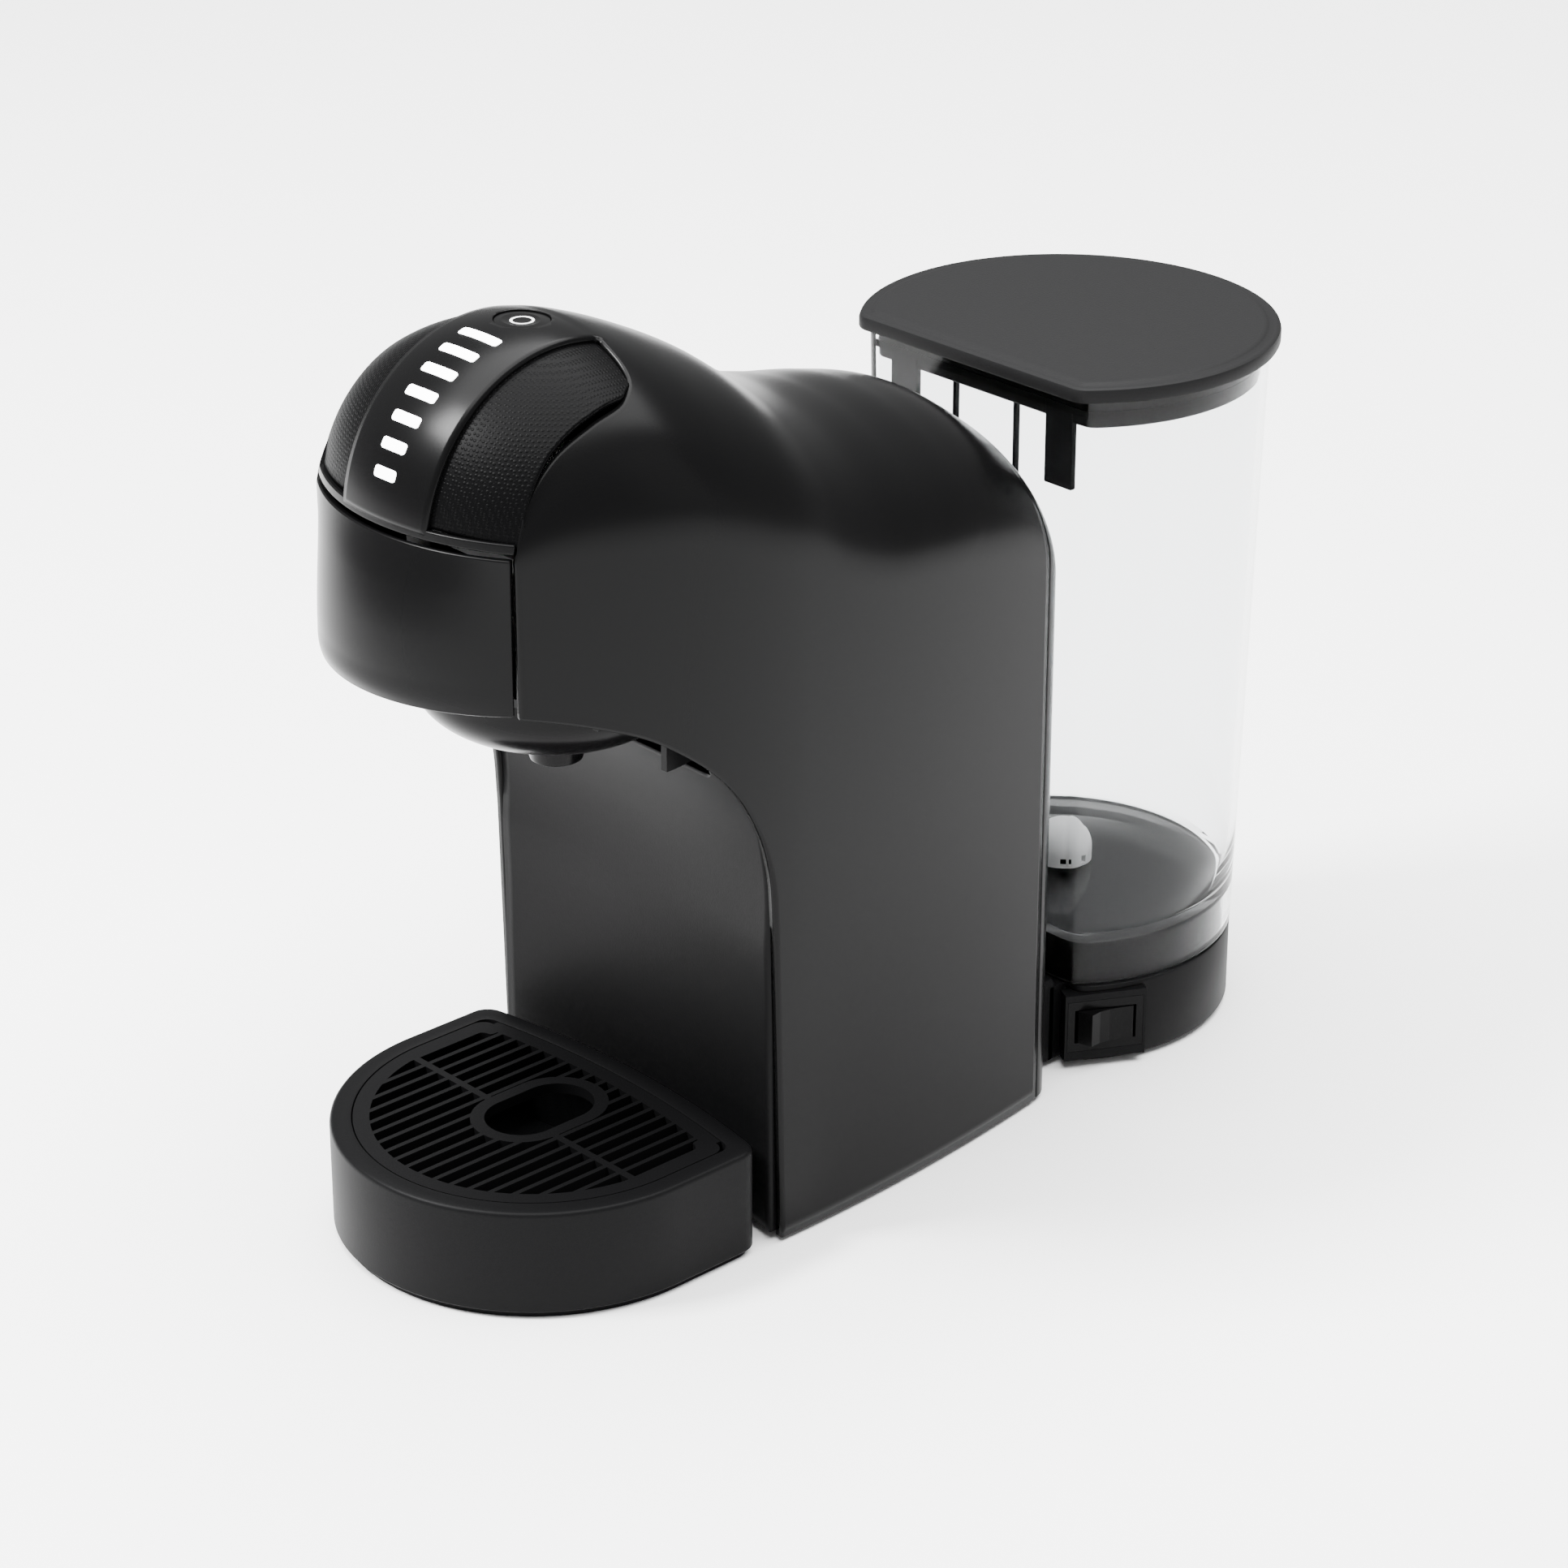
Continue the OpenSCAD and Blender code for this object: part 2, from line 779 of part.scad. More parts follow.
module switch_place() {
    translate([0, base_y, 0])
        rotate([0, 0, -switch_angle])
            translate([switch_face, 0, 14])
                children();
}
module tank_base() {
    color(dark)
        difference() {
            union() {
                translate([0, base_y, skirt_gap])
                    linear_extrude(base_top - skirt_gap)
                        d_outline(base_r, base_flat_y - base_y);
                translate([0, lid_y, base_top - 1])
                    linear_extrude(tank_floor - base_top + 0.8)
                        d_outline(tank_r * tank_taper - tank_wall - 0.6, 62.2 - lid_y + 6.2);
                // Neck into the back cover.
                translate([-37.6, 44, skirt_gap + 1])
                    cube([75.2, 17.5, 26]);
                translate([-37.6, 60, skirt_gap + 1])
                    cube([75.2, 10, base_top - skirt_gap - 1]);
            }
            difference() {
                union() {
                    translate([0, base_y, -1])
                        linear_extrude(base_top - 1.5)
                            d_outline(base_r - wall, base_flat_y - base_y + wall);
                    translate([0, lid_y, base_top - 5])
                        linear_extrude(tank_floor - base_top + 2.6)
                            d_outline(tank_r * tank_taper - tank_wall - 3, 62.2 - lid_y + 8.6);
                }
                base_boss_places()
                    cylinder(r = 3.6, h = 33);
            }
            base_boss_places()
                cylinder(r = 1.45, h = 12);
            translate([-35.2, 40, -1])
                cube([70.4, 30, 27]);
            translate([0, valve_y, 20])
                cylinder(r = 8.2, h = 30);
            switch_place()
                translate([-20, -12.6, -12])
                    cube([30, 25.2, 22.4]);
        }
}
// Cup under the pedestal that takes the tank's spigot, with the pin that lifts the valve.
module valve_seat() {
    color([0.75, 0.75, 0.75])
        translate([0, valve_y, 0])
            difference() {
                union() {
                    difference() {
                        translate([0, 0, 31])
                            cylinder(r = 10, h = 6);
                        translate([0, 0, 33])
                            cylinder(r = 8.2, h = 6);
                    }
                    translate([0, 0, 18])
                        cylinder(r = 3.5, h = 14);
                    translate([0, 0, 32.5])
                        cylinder(r = 1.2, h = 2.5);
                }
                translate([0, 0, 17])
                    cylinder(r = 2.2, h = 13.5);
                for (a = [0 : 120 : 240])
                    rotate([0, 0, a])
                        translate([2.1, 0, 30])
                            cylinder(r = 0.7, h = 6);
            }
}
module switch_housing() {
    color(dark)
        switch_place()
            difference() {
                union() {
                    translate([-3.8, -12.4, -11])
                        cube([3.8, 24.8, 21.3]);
                    translate([-11.5, -12.4, -8.8])
                        cube([8.5, 24.8, 19.1]);
                }
                translate([-13, -11.6, -8.2])
                    cube([30, 23.2, 16.4]);
            }
}
module switch_bezel() {
    color(black)
        switch_place()
            difference() {
                union() {
                    translate([-1.6, -11.5, -8.1])
                        cube([1.6, 23, 16.2]);
                    translate([-11.3, -10.6, -6.8])
                        cube([10, 21.2, 13.6]);
                }
                translate([-9.8, -9.4, -5.4])
                    cube([12, 18.8, 10.8]);
                rocker_pivot(6.3, 1.25);
            }
}
// Upright pivot of the rocker, inside the switch.
module rocker_pivot(half, r) {
    translate([-2.8, 0, -half])
        cylinder(r = r, h = 2 * half);
}
module rocker() {
    color(black)
        switch_place() {
            rocker_pivot(6.15, 1.2);
            translate([0, 0, -5.15])
                linear_extrude(10.3)
                    polygon([[-5.4, -4], [-4.6, -7], [0.2, -8.4], [3.6, -5.2], [1.8, -2.2],
                        [0.9, 1], [0.5, 5], [0.4, 8.4], [-4.4, 7], [-5.4, 4]]);
        }
}

module foot_places() {
    for (p = [[-38, -48], [38, -48], [-36, 28], [36, 28], [-34, 118], [34, 118]])
        translate([p[0], p[1], 0])
            children();
}
module base_plate() {
    ys = [for (y = [-60 : 6 : 42]) y];
    w = wall + 0.4;
    color(black)
        difference() {
            union() {
                translate([0, 0, 2.6])
                    linear_extrude(2.2)
                        polygon(concat([for (y = ys) [half_w(y) - w, y]],
                            [for (i = [len(ys) - 1 : -1 : 0]) [-half_w(ys[i]) + w, ys[i]]]));
                translate([0, base_y, 2.6])
                    linear_extrude(2.2)
                        d_outline(base_r - wall - 0.4, base_flat_y - base_y + wall + 0.4);
                translate([-34.8, 30, 2.6])
                    cube([69.6, 50, 2.2]);
            }
            foot_places()
                cylinder(r = 3.05, h = 10);
            base_screw_places()
                cylinder(r = 1.7, h = 10);
            for (y = [-30 : 8 : 2])
                translate([-14, y, 0])
                    cube([28, 3, 10]);
        }
}
module feet() {
    color(black)
        foot_places() {
            cylinder(r = 7, h = 2.6);
            cylinder(r = 3, h = 4.6);
        }
}
module base_boss_places() {
    for (x = [-26, 26])
        translate([x, 84, 4.8])
            children();
}
module base_screw_places() {
    for (p = [[-40, 17], [40, 17], [-26, 84], [26, 84]])
        translate([p[0], p[1], 0])
            children();
}
module base_screws() {
    color(steel)
        base_screw_places() {
            translate([0, 0, 1])
                cylinder(r = 3, h = 1.6);
            translate([0, 0, 2.5])
                cylinder(r = 1.4, h = 10);
        }
}
cover_post_x = 34;
module casing_screw_places() {
    for (x = [-cover_post_x, cover_post_x], z = [52, 150])
        translate([x, 50.3, z])
            rotate([90, 0, 0])
                children();
}
module casing_screws() {
    color(steel)
        casing_screw_places() {
            translate([0, 0, -1.6])
                cylinder(r = 2.9, h = 1.6);
            translate([0, 0, -0.1])
                cylinder(r = 1.4, h = 12);
        }
}
cord_x = -26;
cord_z = 40;
module cord_inlet() {
    color(black)
        translate([cord_x, 0, cord_z])
            rotate([-90, 0, 0])
                difference() {
                    union() {
                        translate([0, 0, 44])
                            cylinder(r = 4.5, h = 8);
                        translate([0, 0, 50.3])
                            cylinder(r = 6.5, h = 2);
                        translate([0, 0, 44.4])
                            cylinder(r = 6.5, h = 3.5);
                    }
                    translate([0, 0, 30])
                        cylinder(r = 3, h = 40);
                }
}

// ---------- chassis and water circuit ----------

// Upright plate that the heater, the pump mounts, the control board and the back cover fix to.
module chassis() {
    color([0.3, 0.3, 0.31])
        difference() {
            union() {
                translate([-47, 20, 4.8])
                    cube([94, 2.4, 165]);
                for (x = [-40, 40])
                    translate([x - 4, 13, 4.8])
                        cube([8, 9.4, 14]);
                casing_screw_places()
                    translate([0, 0, 2.4])
                        cylinder(r = 3.6, h = 26.5);
                for (x = [-24, 24], z = [50, 158])
                    translate([x, 34, z])
                        rotate([90, 0, 0])
                            cylinder(r = 2.5, h = 12);
            }
            casing_screw_places()
                cylinder(r = 1.45, h = 20);
            base_screw_places()
                cylinder(r = 1.45, h = 16);
            translate([-30, 15, -1])
                cube([60, 12, 35]);
        }
}

module pump() {
    color([0.55, 0.5, 0.35]) {
        translate([-22, -4, 22])
            cylinder(r = 10, h = 78);
        translate([-38, -19, 42])
            cube([32, 30, 34]);
        translate([-22, -4, 100])
            cylinder(r = 4, h = 8);
    }
}
module pump_mounts() {
    color(black)
        difference() {
            for (z = [30, 82])
                translate([-36, -18, z])
                    cube([28, 38, 6]);
            translate([-22, -4, 0])
                cylinder(r = 10.05, h = 120);
        }
}
module thermoblock() {
    color([0.72, 0.73, 0.75])
        difference() {
            union() {
                translate([6, -22, 86])
                    cube([32, 42, 74]);
                for (z = [100, 146])
                    translate([22, -22, z])
                        rotate([90, 0, 0])
                            cylinder(r = 4, h = 10);
            }
            for (z = [100, 146])
                translate([22, -20, z])
                    rotate([90, 0, 0])
                        cylinder(r = 2, h = 16);
        }
}
module flow_meter() {
    color([0.85, 0.85, 0.85]) {
        translate([20, 4, 14])
            cylinder(r = 13, h = 14);
        translate([20, 4, 28])
            cylinder(r = 4, h = 6);
    }
}
module water_tubes() {
    path_in = [[0, valve_y, 16.8], [0, valve_y, 11], [0, 60, 11], [20, 30, 11], [20, 19.4, 20]];
    path_out = [[22, -33.4, 100], [22, -43, 108], [4, -43, 150], [0, -43, 215], [0, pod_y, 222],
        [0, pod_y, 205.2]];
    color([0.9, 0.9, 0.88])
        for (path = [path_in, path_out]) {
            for (i = [0 : len(path) - 2])
                rod(path[i], path[i + 1], 2.6);
            // Elbows between the lengths.
            for (i = [1 : len(path) - 2])
                translate(path[i])
                    sphere(3.3);
        }
}
module control_board() {
    color([0.05, 0.3, 0.15]) {
        translate([-29, 34, 44])
            cube([58, 1.6, 120]);
        for (p = [[-28, 60, 14, 10], [4, 60, 18, 14], [-26, 100, 12, 22], [8, 110, 16, 16]])
            translate([p[0], 34.2 - p[3] * 0.5, p[1]])
                cube([p[2], p[3] * 0.5, p[3]]);
    }
}

// ---------- start button ----------

module start_button() {
    color(black)
        translate([0, dome_y + 1, 0])
            difference() {
                union() {
                    intersection() {
                        translate([0, 0, 254.8])
                            cylinder(r = button_r, h = 20);
                        translate([0, -dome_y - 1, 0])
                            barrel_skin(0.35, 8, 12);
                    }
                    translate([0, 0, 255])
                        cylinder(r = button_r + 1.2, h = 1.7);
                }
                translate([0, 0, 291])
                    sphere(31.4, $fn = 96);
                translate([0, 0, 250])
                    cylinder(r = 5, h = 6);
                mark_ring(1);
            }
}
// Generic ring mark, printed into a shallow groove of the button.
module mark_ring(h) {
    translate([0, 0, 259.35])
        linear_extrude(h)
            difference() {
                circle(3.2);
                circle(2.5);
            }
}
module button_mark() {
    color([1, 1, 1])
        translate([0, dome_y + 1, 0])
            mark_ring(0.4);
}
module button_spring() {
    color(steel)
        translate([0, dome_y + 1, 252.25])
            coil(3.6, 0.35, 3.7, 3);
}

main_casing();
control_strip();
back_cover();
column_panel();
pod_dock();
grip_left();
grip_right();
light_guide();
led_board();
control_board();
head_frame();
base_plate();
chassis();
feet();
tank_base();
valve_seat();
switch_housing();
switch_bezel();
rocker();
pump();
pump_mounts();
thermoblock();
flow_meter();
water_tubes();
flap_pin();
casing_screws();
base_screws();
cord_inlet();
front_flap();
flap_liner();
injector_head();
needle();
pod_gasket();
pod_holder();
pod_insert();
spout_nozzle();
drip_tray();
drip_grille();
water_tank();
tank_filter();
valve_poppet();
poppet_seal();
valve_spring();
tank_lid();
lid_seal();
start_button();
button_mark();
button_spring();
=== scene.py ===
"""Looks of the pod coffee machine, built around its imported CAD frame."""

import json
import math

import bmesh
import bpy
import numpy as np
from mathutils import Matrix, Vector


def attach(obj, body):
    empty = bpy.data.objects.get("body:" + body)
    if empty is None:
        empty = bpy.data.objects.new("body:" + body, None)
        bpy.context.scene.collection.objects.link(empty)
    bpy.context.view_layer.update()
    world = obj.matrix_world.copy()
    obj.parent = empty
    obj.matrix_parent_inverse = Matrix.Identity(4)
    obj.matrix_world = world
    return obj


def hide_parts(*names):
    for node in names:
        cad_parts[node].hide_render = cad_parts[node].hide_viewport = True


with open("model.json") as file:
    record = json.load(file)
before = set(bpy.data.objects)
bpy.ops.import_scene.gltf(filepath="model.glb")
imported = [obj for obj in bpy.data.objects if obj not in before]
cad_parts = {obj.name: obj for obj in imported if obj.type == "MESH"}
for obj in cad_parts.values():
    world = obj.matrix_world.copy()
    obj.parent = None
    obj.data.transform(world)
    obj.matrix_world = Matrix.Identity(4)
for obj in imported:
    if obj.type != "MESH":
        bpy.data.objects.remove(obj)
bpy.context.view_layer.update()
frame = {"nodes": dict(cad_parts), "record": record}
scene = bpy.context.scene

# ---------- camera ----------

AIM = Vector((0.0184, -0.0284, 0.1133))
AZIMUTH = math.radians(47.06)
ELEVATION = math.radians(24.75)
DISTANCE = 1.230
towards_camera = Vector(
    (
        math.sin(AZIMUTH) * math.cos(ELEVATION),
        -math.cos(AZIMUTH) * math.cos(ELEVATION),
        math.sin(ELEVATION),
    )
)
camera_data = bpy.data.cameras.new("camera")
camera_data.sensor_width = 36
camera_data.lens = 102.8
camera = bpy.data.objects.new("camera", camera_data)
scene.collection.objects.link(camera)
camera.location = AIM + towards_camera * DISTANCE
camera.rotation_mode = "QUATERNION"
camera.rotation_quaternion = (-towards_camera).to_track_quat("-Z", "Y")
scene.camera = camera

# ---------- materials ----------


def material(name):
    """A new material with its Principled shader, nodes and links."""
    made = bpy.data.materials.new(name)
    made.use_nodes = True
    tree = made.node_tree
    return made, tree.nodes["Principled BSDF"], tree.nodes, tree.links


def grain(nodes, links, shader, scale, strength, distance=0.0002):
    """Fine noise bump in object space, and the noise node it comes from."""
    place = nodes.new("ShaderNodeTexCoord")
    noise = nodes.new("ShaderNodeTexNoise")
    noise.inputs["Scale"].default_value = scale
    noise.inputs["Detail"].default_value = 4
    links.new(place.outputs["Object"], noise.inputs["Vector"])
    bump = nodes.new("ShaderNodeBump")
    bump.inputs["Strength"].default_value = strength
    bump.inputs["Distance"].default_value = distance
    links.new(noise.outputs["Fac"], bump.inputs["Height"])
    links.new(bump.outputs["Normal"], shader.inputs["Normal"])
    return place, noise, bump


def uneven_roughness(nodes, links, shader, place, low, high, scale=9):
    """Roughness that drifts slowly between two values over the surface."""
    drift = nodes.new("ShaderNodeTexNoise")
    drift.inputs["Scale"].default_value = scale
    drift.inputs["Detail"].default_value = 3
    links.new(place.outputs["Object"], drift.inputs["Vector"])
    span = nodes.new("ShaderNodeMapRange")
    span.inputs["To Min"].default_value = low
    span.inputs["To Max"].default_value = high
    links.new(drift.outputs["Fac"], span.inputs["Value"])
    links.new(span.outputs["Result"], shader.inputs["Roughness"])


def plastic(name, colour, rough, grain_scale=2400, grain_strength=0.12, metallic=0.0, specular=0.5):
    made, shader, nodes, links = material(name)
    shader.inputs["Base Color"].default_value = (*colour, 1)
    shader.inputs["Specular IOR Level"].default_value = specular
    shader.inputs["Metallic"].default_value = metallic
    place, _, _ = grain(nodes, links, shader, grain_scale, grain_strength)
    uneven_roughness(nodes, links, shader, place, rough * 0.88, rough * 1.12)
    return made


def dotted(name, colour, rough, pitch):
    """Soft plastic with a regular field of small raised dots."""
    made, shader, nodes, links = material(name)
    shader.inputs["Base Color"].default_value = (*colour, 1)
    shader.inputs["Specular IOR Level"].default_value = 0.03
    place = nodes.new("ShaderNodeTexCoord")
    cells = nodes.new("ShaderNodeTexVoronoi")
    cells.inputs["Scale"].default_value = 1000 / pitch
    cells.inputs["Randomness"].default_value = 0
    links.new(place.outputs["Object"], cells.inputs["Vector"])
    round_top = nodes.new("ShaderNodeMapRange")
    round_top.interpolation_type = "SMOOTHSTEP"
    round_top.inputs["From Min"].default_value = 0.2
    round_top.inputs["From Max"].default_value = 0.5
    round_top.inputs["To Min"].default_value = 1
    round_top.inputs["To Max"].default_value = 0
    links.new(cells.outputs["Distance"], round_top.inputs["Value"])
    bump = nodes.new("ShaderNodeBump")
    bump.inputs["Strength"].default_value = 0.45
    bump.inputs["Distance"].default_value = 0.00018
    links.new(round_top.outputs["Result"], bump.inputs["Height"])
    links.new(bump.outputs["Normal"], shader.inputs["Normal"])
    uneven_roughness(nodes, links, shader, place, rough * 0.9, rough * 1.1)
    return made


def clear_plastic(name, tint, ior):
    made, shader, nodes, links = material(name)
    shader.inputs["Base Color"].default_value = (*tint, 1)
    shader.inputs["Transmission Weight"].default_value = 1
    shader.inputs["IOR"].default_value = ior
    place, _, _ = grain(nodes, links, shader, 60, 0.02, 0.0002)
    uneven_roughness(nodes, links, shader, place, 0.015, 0.04)
    return made


def glowing(name, strength):
    made, shader, nodes, links = material(name)
    shader.inputs["Base Color"].default_value = (0.95, 0.95, 0.95, 1)
    shader.inputs["Emission Color"].default_value = (1, 1, 1, 1)
    shader.inputs["Emission Strength"].default_value = strength
    place, _, _ = grain(nodes, links, shader, 1500, 0.05)
    uneven_roughness(nodes, links, shader, place, 0.3, 0.4)
    return made


M = {
    "shell_black": plastic("shell_black", (0.0022, 0.0022, 0.0023), 0.25, 2600, 0.03, specular=0.065),
    "grip_black": dotted("grip_black", (0.0012, 0.0012, 0.0013), 0.4, 1.05),
    "matt_black": plastic("matt_black", (0.0028, 0.0028, 0.003), 0.45, 2000, 0.15, specular=0.05),
    "lid_grey": plastic("lid_grey", (0.006, 0.006, 0.0062), 0.55, 1800, 0.25, specular=0.06),
    "tank_clear": clear_plastic("tank_clear", (0.86, 0.87, 0.875), 1.16),
    "light_white": glowing("light_white", 7.0),
    "inner_grey": plastic("inner_grey", (0.2, 0.2, 0.205), 0.5),
    "valve_white": plastic("valve_white", (0.7, 0.7, 0.68), 0.4),
    "filter_grey": plastic("filter_grey", (0.6, 0.6, 0.6), 0.45),
    "rubber_black": plastic("rubber_black", (0.004, 0.004, 0.004), 0.7, 1500, 0.3, specular=0.05),
    "silicone_red": plastic("silicone_red", (0.35, 0.08, 0.05), 0.5),
    "circuit_green": plastic("circuit_green", (0.03, 0.16, 0.07), 0.35),
    "steel": plastic("steel", (0.6, 0.6, 0.61), 0.3, 3000, 0.05, metallic=1.0),
    "heater_alloy": plastic("heater_alloy", (0.6, 0.6, 0.62), 0.5, 900, 0.4, metallic=1.0),
    "pump_body": plastic("pump_body", (0.28, 0.25, 0.18), 0.4),
    "tube_white": plastic("tube_white", (0.75, 0.75, 0.72), 0.4),
    "mark_white": plastic("mark_white", (0.8, 0.8, 0.8), 0.4),
}
slot_of = {s["node"]: s["material_slot"] for s in frame["record"]["subparts"]}
body_of = {n: b for b, ns in frame["record"]["behaviour"]["bodies"].items() for n in ns}
for node_name, node_object in frame["nodes"].items():
    node_object.data.materials.clear()
    node_object.data.materials.append(M[slot_of[node_name]])

# ---------- mesh helpers (millimetres in, metres out) ----------


SHARP_ANGLE = math.radians(35)


def piece(name, points, faces, stands_for):
    """A smooth-shaded mesh that stands for CAD nodes, with the body and finish of the first one."""
    mesh = bpy.data.meshes.new(name)
    mesh.from_pydata([tuple(float(c) * 0.001 for c in p) for p in points], [], faces)
    mesh.validate()
    mesh.shade_smooth()
    mesh.set_sharp_from_angle(angle=SHARP_ANGLE)
    made = bpy.data.objects.new(name, mesh)
    scene.collection.objects.link(made)
    first = stands_for[0]
    mesh.materials.append(M[slot_of[first]])
    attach(made, body_of[first])
    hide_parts(*stands_for)
    return made


def grid_faces(rows, columns, start=0, closed=False, looped=False, flip=False):
    """Quads of a grid of points stored row by row; closed joins the columns, looped the rows."""
    faces = []
    for i in range(rows if looped else rows - 1):
        this_row = start + i * columns
        next_row = start + (i + 1) % rows * columns
        for j in range(columns if closed else columns - 1):
            k = (j + 1) % columns
            quad = [this_row + j, this_row + k, next_row + k, next_row + j]
            faces.append(quad[::-1] if flip else quad)
    return faces


def merge_doubles(target, distance=0.02):
    """Joins points closer than a distance in millimetres."""
    work = bmesh.new()
    work.from_mesh(target.data)
    bmesh.ops.remove_doubles(work, verts=work.verts, dist=distance * 0.001)
    work.to_mesh(target.data)
    work.free()


def thicken(target, thickness):
    """Gives a sheet a wall thickness, in millimetres, behind its outer face."""
    solid = target.modifiers.new("wall", "SOLIDIFY")
    solid.thickness = thickness * 0.001
    solid.offset = -1


def round_edges(target, width):
    """Rounds the edges that turn by more than 40 degrees; width is in millimetres."""
    bevel = target.modifiers.new("rounded_edges", "BEVEL")
    bevel.width = width * 0.001
    bevel.segments = 3
    bevel.limit_method = "ANGLE"
    bevel.angle_limit = math.radians(40)
    bevel.harden_normals = True


def subtract(target, cutter):
    cut = target.modifiers.new(cutter.name, "BOOLEAN")
    cut.object = cutter
    cut.solver = "EXACT"


def hidden(made, name):
    """Marks an object as a cutter only."""
    made.name = name
    made.hide_render = True
    return made


def hidden_cylinder(name, radius, centre, height):
    bpy.ops.mesh.primitive_cylinder_add(vertices=128, radius=radius * 0.001, depth=height * 0.001)
    bpy.context.object.location = Vector(centre) * 0.001
    return hidden(bpy.context.object, name)


def hidden_box(name, low, high, turn=0.0):
    """A box cutter; turn is its angle about the vertical through its centre."""
    bpy.ops.mesh.primitive_cube_add(size=1)
    low, high = Vector(low) * 0.001, Vector(high) * 0.001
    bpy.context.object.location = (low + high) / 2
    bpy.context.object.scale = high - low
    bpy.context.object.rotation_euler = (0, 0, turn)
    return hidden(bpy.context.object, name)


def stack(rings, closed_ends=True):
    """Points and faces of a solid through rings of equal length; the ends are flat caps."""
    n = len(rings[0])
    points = [p for ring in rings for p in ring]
    faces = grid_faces(len(rings), n, closed=True)
    if closed_ends:
        faces.append(list(range(n))[::-1])
        faces.append([(len(rings) - 1) * n + j for j in range(n)])
    return points, faces


def lathe(profile, centre, segments=128):
    """Points and faces of a closed profile [(radius, z)] turned about a vertical axis."""
    points = []
    for k in range(segments):
        a = 2 * math.pi * k / segments
        for r, z in profile:
            points.append((centre[0] + r * math.cos(a), centre[1] + r * math.sin(a), z))
    return points, grid_faces(segments, len(profile), closed=True, looped=True, flip=True)


def edge_loop(rows):
    """The outer points of a grid of points, in order around it."""
    right = [row[-1] for row in rows[1:-1]]
    left = [row[0] for row in rows[1:-1]]
    return rows[0] + right + rows[-1][::-1] + left[::-1]


def arc(centre_x, centre_y, radius, start, end, count):
    """Points of an arc from one angle to another, both counted from +X."""
    turns = np.linspace(start, end, count)
    return [(centre_x + radius * math.cos(a), centre_y + radius * math.sin(a)) for a in turns]


def smooth_curve(knots):
    """A smooth function through (x, y) knots with rising x."""
    xs, ys = np.array(knots, float).T
    slope = np.gradient(ys, xs)

    def at(x):
        i = np.clip(np.searchsorted(xs, x) - 1, 0, len(xs) - 2)
        h = xs[i + 1] - xs[i]
        t = np.clip((x - xs[i]) / h, 0, 1)
        return (
            ys[i] * (1 + 2 * t) * (1 - t) ** 2
            + slope[i] * h * t * (1 - t) ** 2
            + ys[i + 1] * t * t * (3 - 2 * t)
            + slope[i + 1] * h * t * t * (t - 1)
        )

    return at


def smooth_path(points, count):
    """count points, evenly spaced, on a smooth line through the given points."""
    p = np.array(points, float)
    run = np.concatenate([[0], np.cumsum(np.linalg.norm(np.diff(p, axis=0), axis=1))])
    where = np.linspace(0, run[-1], count)
    return np.array([smooth_curve(np.c_[run, c])(where) for c in p.T]).T


# ---------- casing ----------

BODY_HALF = 58.2
WIDE_Y = -56.3
SIDE_R = 199.0
REAR_TAPER = 0.00084
SKIRT = 1.5
WALL = 2.4
DOME_Y = -103.0
DOME_Z = 212.8
DOME_R = 47.8
BARREL_R = 72.9
STRIP_HALF = 17.4
SPLIT_Y = 41.6
TOP_LINE = [
    (-139.1, 244.1, 31), (-131, 251.5, 37), (-122, 256.6, 42), (-112, 259.8, 46),
    (-103, 260.8, 47.6), (-92, 259.6, 47.6), (-81, 256, 47.6), (-70.2, 251.3, 47.6),
    (-56.3, 244, 46), (-42.3, 234.3, 44.3), (-27.6, 226.6, 42), (-8.7, 221, 39),
    (10.2, 217.3, 37.7), (29, 211.5, 37), (42, 202.6, 34.5),
]
ARCH = [
    (-68, 95.5), (-69.6, 113.9), (-71.9, 122.5), (-74.9, 129.6), (-78.4, 136),
    (-82.7, 141.9), (-88.4, 147.9), (-94.9, 153.3), (-100.5, 157.4), (-106.3, 161.1),
    (-117.1, 165.9), (-127.4, 169.6), (-139.1, 172.9),
]
RIM = [
    (-95.7, 250.2), (-100.7, 247.5), (-111.6, 244.4), (-124.2, 238.5), (-133.5, 229.2),
    (-137.7, 220.3), (-139.1, 215),
]
top_of = smooth_curve([(y, z) for y, z, _ in TOP_LINE])
shoulder_of = smooth_curve([(y, s) for y, _, s in TOP_LINE])


def half_w(y):
    """Half-width of the casing: bowed in towards the front, hardly towards the rear."""
    front = BODY_HALF - SIDE_R + np.sqrt(SIDE_R**2 - np.minimum(y - WIDE_Y, 0) ** 2)
    return np.where(y < WIDE_Y, front, BODY_HALF - REAR_TAPER * (y - WIDE_Y) ** 2)


QUARTER = np.linspace(0, math.pi / 2, 61)


def shoulder_run(y):
    """Length along the shoulder's quarter ellipse at each angle of QUARTER."""
    w, b = float(half_w(y)), float(shoulder_of(y))
    line = np.c_[w * np.cos(QUARTER), b * np.sin(QUARTER)]
    return np.concatenate([[0], np.cumsum(np.linalg.norm(np.diff(line, axis=0), axis=1))])


def unrolled(y, z):
    """Height along the shell's outer face, from the table, of the point at side-view height z."""
    b = float(shoulder_of(y))
    z1 = float(top_of(y)) - b
    if z <= z1:
        return z
    a = math.asin(min(1.0, (z - z1) / b))
    return z1 + float(np.interp(a, QUARTER, shoulder_run(y)))


def unrolled_at_x(y, x):
    """The same for the point of the shoulder at half-width x."""
    a = math.acos(x / float(half_w(y)))
    return float(top_of(y)) - float(shoulder_of(y)) + float(np.interp(a, QUARTER, shoulder_run(y)))


